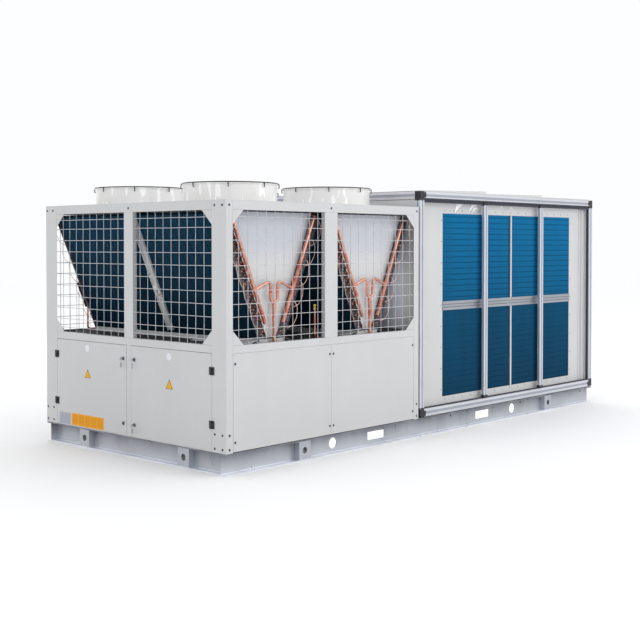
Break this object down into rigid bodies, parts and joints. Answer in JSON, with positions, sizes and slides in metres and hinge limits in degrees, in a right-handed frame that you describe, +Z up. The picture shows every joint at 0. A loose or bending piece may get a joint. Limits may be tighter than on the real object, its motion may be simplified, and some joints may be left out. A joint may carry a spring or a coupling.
{
  "type": "packaged rooftop air-conditioning unit",
  "caption": "Rooftop air-conditioning unit with scroll compressors: axial fans and V coils behind wire guards, a finned-coil air section, all on a galvanised channel base.",
  "frame": {"origin": "on the ground, under the middle of the base, at the centre of the four anchor holes", "axes": "+X along the unit from the condenser end to the air-handling end, +Y from the front long side to the rear, +Z up"},
  "size_m": [5.171, 2.237, 2.113],
  "materials": {
    "galvanised_base": "hot-dip galvanised, slightly spangled",
    "galvanised_sheet": "galvanised sheet, satin",
    "cabinet_paint": "warm light-grey powder coat, fine texture",
    "cowl_paint": "white powder coat, satin",
    "guard_wire": "light-grey coated welded wire",
    "black_wire": "black coated wire",
    "black_paint": "black satin paint",
    "blade": "black moulded blades",
    "motor_paint": "dark grey motor enamel",
    "coil_fin_dark": "dark blue hydrophilic fin coating",
    "coil_fin_blue": "blue hydrophilic fin coating",
    "copper": "drawn copper tube with brazing marks",
    "compressor_paint": "black semi-gloss",
    "cast_iron": "machined grey iron",
    "machined_steel": "machined steel",
    "electrical": "light-grey panel",
    "anodised": "anodised extruded profile",
    "black_plastic": "moulded nylon, fine grain",
    "rubber": "matt rubber",
    "zinc": "zinc plated"
  },
  "bodies": {
    "cabinet": {"base_beams": "galvanised_base", "base_cross_members": "galvanised_base", "lifting_lugs": "galvanised_base", "condenser_corner_posts": "cabinet_paint", "condenser_rails": "cabinet_paint", "corner_gussets": "cabinet_paint", "wire_guards": "guard_wire", "lower_side_panels": "cabinet_paint", "compartment_floors": "galvanised_sheet", "condenser_roof": "cabinet_paint", "cabinet_screws": "zinc", "door_hinges": "black_paint", "fan_cowls": "cowl_paint", "fan_guards": "black_wire", "fan_motors": "motor_paint", "fan_motor_brackets": "galvanised_sheet", "condenser_coils": "coil_fin_dark", "coil_supports": "galvanised_sheet", "coil_headers": "copper", "refrigerant_pipes": "copper", "compressor_shells": "compressor_paint", "compressor_frames": "cast_iron", "fixed_scrolls": "cast_iron", "liquid_receivers": "compressor_paint", "electrical_panel": "electrical", "air_section_frame": "anodised", "corner_blocks": "black_plastic", "air_section_mullions": "anodised", "coil_surround": "cabinet_paint", "evaporator_coil": "coil_fin_blue", "coil_middle_rail": "galvanised_sheet", "air_section_roof": "cabinet_paint", "air_section_walls": "cabinet_paint", "air_section_floor": "galvanised_sheet", "blower_housings": "galvanised_sheet", "blower_supports": "cast_iron", "drive_belt": "rubber", "supply_duct_flanges": "galvanised_sheet"},
    "left_door": {"left_door": "cabinet_paint", "left_door_fittings": "black_paint"},
    "right_door": {"right_door": "cabinet_paint", "right_door_fittings": "black_paint"},
    "blower_rotor": {"blower_shaft": "machined_steel", "blower_wheels": "galvanised_sheet"},
    "motor_rotor": {"motor_rotor": "machined_steel"},
    "access_door": {"access_door": "cabinet_paint"},
    "upper_left_lock": {"upper_left_lock": "zinc"},
    "upper_right_lock": {"upper_right_lock": "zinc"},
    "upper_access_latch": {"upper_access_latch": "black_plastic"},
    "lower_left_lock": {"lower_left_lock": "zinc"},
    "lower_right_lock": {"lower_right_lock": "zinc"},
    "lower_access_latch": {"lower_access_latch": "black_plastic"},
    "fan_1": {"fan_impeller_1": "blade"},
    "fan_2": {"fan_impeller_2": "blade"},
    "fan_3": {"fan_impeller_3": "blade"},
    "fan_4": {"fan_impeller_4": "blade"},
    "crankshaft_a": {"compressor_crankshaft_a": "machined_steel"},
    "orbiting_scroll_a": {"orbiting_scroll_a": "cast_iron"},
    "crankshaft_b": {"compressor_crankshaft_b": "machined_steel"},
    "orbiting_scroll_b": {"orbiting_scroll_b": "cast_iron"}
  },
  "joints": [
    {"name": "left_door_hinge", "type": "hinge", "parent": "cabinet", "child": "left_door", "pos_m": [-2.578, 0.949, 0.51], "axis": [0, 0, -1], "range_deg": [0, 110]},
    {"name": "right_door_hinge", "type": "hinge", "parent": "cabinet", "child": "right_door", "pos_m": [-2.578, -0.949, 0.51], "axis": [0, 0, 1], "range_deg": [0, 110]},
    {"name": "lower_left_lock_turn", "type": "hinge", "parent": "left_door", "child": "lower_left_lock", "pos_m": [-2.57, 0.068, 0.255], "axis": [1, 0, 0], "range_deg": [0, 90]},
    {"name": "lower_right_lock_turn", "type": "hinge", "parent": "right_door", "child": "lower_right_lock", "pos_m": [-2.57, -0.068, 0.255], "axis": [-1, 0, 0], "range_deg": [0, 90]},
    {"name": "upper_left_lock_turn", "type": "hinge", "parent": "left_door", "child": "upper_left_lock", "pos_m": [-2.57, 0.068, 0.755], "axis": [1, 0, 0], "range_deg": [0, 90]},
    {"name": "upper_right_lock_turn", "type": "hinge", "parent": "right_door", "child": "upper_right_lock", "pos_m": [-2.57, -0.068, 0.755], "axis": [-1, 0, 0], "range_deg": [0, 90]},
    {"name": "fan_1_spin", "type": "hinge", "parent": "cabinet", "child": "fan_1", "pos_m": [-2.02, -0.55, 2.02], "axis": [0, 0, 1], "continuous": true},
    {"name": "fan_2_spin", "type": "hinge", "parent": "cabinet", "child": "fan_2", "pos_m": [-2.02, 0.55, 2.02], "axis": [0, 0, 1], "continuous": true},
    {"name": "fan_3_spin", "type": "hinge", "parent": "cabinet", "child": "fan_3", "pos_m": [-0.92, -0.55, 2.02], "axis": [0, 0, 1], "continuous": true},
    {"name": "fan_4_spin", "type": "hinge", "parent": "cabinet", "child": "fan_4", "pos_m": [-0.92, 0.55, 2.02], "axis": [0, 0, 1], "continuous": true},
    {"name": "crankshaft_a_spin", "type": "hinge", "parent": "cabinet", "child": "crankshaft_a", "pos_m": [-1.52, -0.42, 0.4], "axis": [0, 0, 1], "continuous": true},
    {"name": "orbiting_scroll_a_turn", "type": "hinge", "parent": "crankshaft_a", "child": "orbiting_scroll_a", "pos_m": [-1.51484, -0.42, 0.56], "axis": [0, 0, 1], "continuous": true},
    {"name": "crankshaft_b_spin", "type": "hinge", "parent": "cabinet", "child": "crankshaft_b", "pos_m": [-1.02, 0.42, 0.4], "axis": [0, 0, 1], "continuous": true},
    {"name": "orbiting_scroll_b_turn", "type": "hinge", "parent": "crankshaft_b", "child": "orbiting_scroll_b", "pos_m": [-1.01484, 0.42, 0.56], "axis": [0, 0, 1], "continuous": true},
    {"name": "blower_spin", "type": "hinge", "parent": "cabinet", "child": "blower_rotor", "pos_m": [1.93, 0, 0.98], "axis": [0, 1, 0], "continuous": true},
    {"name": "motor_spin", "type": "hinge", "parent": "cabinet", "child": "motor_rotor", "pos_m": [1.32, 0.8, 0.42], "axis": [0, 1, 0], "continuous": true},
    {"name": "access_door_hinge", "type": "hinge", "parent": "cabinet", "child": "access_door", "pos_m": [0.66667, 1.108, 1.125], "axis": [0, 0, 1], "range_deg": [0, 110]},
    {"name": "lower_access_latch_turn", "type": "hinge", "parent": "access_door", "child": "lower_access_latch", "pos_m": [1.48333, 1.1, 0.52], "axis": [0, 1, 0], "range_deg": [0, 90]},
    {"name": "upper_access_latch_turn", "type": "hinge", "parent": "access_door", "child": "upper_access_latch", "pos_m": [1.48333, 1.1, 1.73], "axis": [0, 1, 0], "range_deg": [0, 90]}
  ],
  "couplings": [
    {"joint": "orbiting_scroll_a_turn", "follows": "crankshaft_a_spin", "ratio": -1},
    {"joint": "orbiting_scroll_b_turn", "follows": "crankshaft_b_spin", "ratio": -1},
    {"joint": "motor_spin", "follows": "blower_spin", "ratio": 2}
  ]
}
